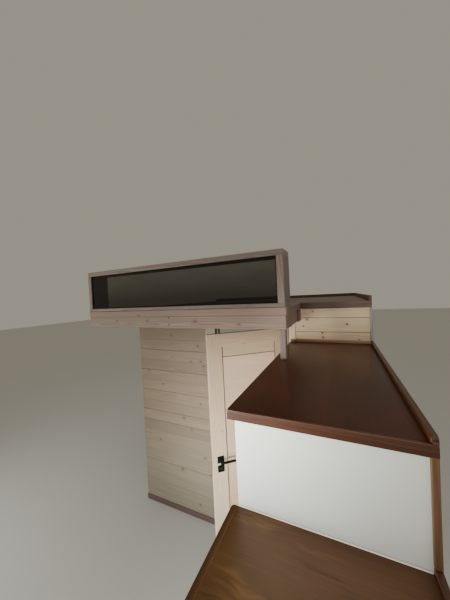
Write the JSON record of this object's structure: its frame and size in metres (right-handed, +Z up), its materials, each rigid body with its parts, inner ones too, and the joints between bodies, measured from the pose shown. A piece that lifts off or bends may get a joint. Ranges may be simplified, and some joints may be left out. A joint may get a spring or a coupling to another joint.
{
  "type": "sleeping loft with box stair",
  "caption": "Built-in sleeping loft of a tiny house: box stair with landing, boarded partition with hinged door, beamed loft floor and a low guard with smoked glass.",
  "frame": {"origin": "floor level, middle of the rectangle that the whole piece covers", "axes": "+Z up, -Y the side from which the stair is climbed, +Y the end wall that the loft reaches, +X the side wall that the stair stands against"},
  "size_m": [2.336, 4.722, 2.602],
  "materials": {
    "step_wood": "satin brown varnish over oak grain",
    "landing_wood": "glossy dark red-brown varnish",
    "strip_wood": "satin dark brown varnish",
    "white_panel": "satin white paint on board",
    "pine_boards": "pale matt oiled pine",
    "plain_timber": "bare planed timber",
    "door_pine": "whitewashed matt pine",
    "grey_pine": "greyed pink-brown stained pine, matt",
    "loft_floor": "grey-brown stained pine, matt",
    "smoked_glass": "dark tinted, polished",
    "black_metal": "matt black powder coat"
  },
  "bodies": {
    "structure": {"narrow_treads": "step_wood", "wide_tread": "step_wood", "landing_board": "landing_wood", "landing_nosing": "step_wood", "step_front_panels": "white_panel", "landing_front_panel": "white_panel", "cabinet_side_panels": "white_panel", "wall_side_panels": "white_panel", "wall_strip": "strip_wood", "partition_boards_left": "pine_boards", "partition_boards_right": "pine_boards", "partition_boards_head": "pine_boards", "partition_back_boards": "pine_boards", "partition_studs": "plain_timber", "door_jambs": "door_pine", "door_head": "door_pine", "door_stops": "door_pine", "door_casing": "door_pine", "front_beam": "grey_pine", "front_cap": "grey_pine", "side_beam": "grey_pine", "side_cap": "grey_pine", "loft_nosing": "grey_pine", "loft_floor_front": "loft_floor", "loft_floor_rear": "loft_floor", "loft_joists": "plain_timber", "end_ledger": "plain_timber", "ceiling_boards_front": "pine_boards", "ceiling_boards_rear": "pine_boards", "newel_post": "grey_pine", "riser_corner_strips": "pine_boards", "floor_strip": "strip_wood", "guard_bottom_board": "grey_pine", "guard_top_board": "grey_pine", "guard_side_boards": "grey_pine", "guard_glass": "smoked_glass", "frame_hinges": "black_metal"},
    "door": {"door_lock_stile": "door_pine", "door_hinge_stile": "door_pine", "door_rails": "door_pine", "door_panel": "door_pine", "door_hinges": "black_metal", "door_plates": "black_metal"},
    "lever": {"lever_spindle": "black_metal", "lever_bars": "black_metal"}
  },
  "joints": [
    {"name": "door_hinge", "type": "hinge", "parent": "structure", "child": "door", "pos_m": [0.54525, 0.34, 1], "axis": [0, 0, 1], "range_deg": [-40, 45]},
    {"name": "lever_turn", "type": "hinge", "parent": "door", "child": "lever", "pos_m": [0.03475, -0.05311, 1.028], "axis": [-0.6428, 0.766, 0], "range_deg": [0, 45], "stiffness_Nm_per_rad": 1.5, "springref_deg": -20.05}
  ]
}
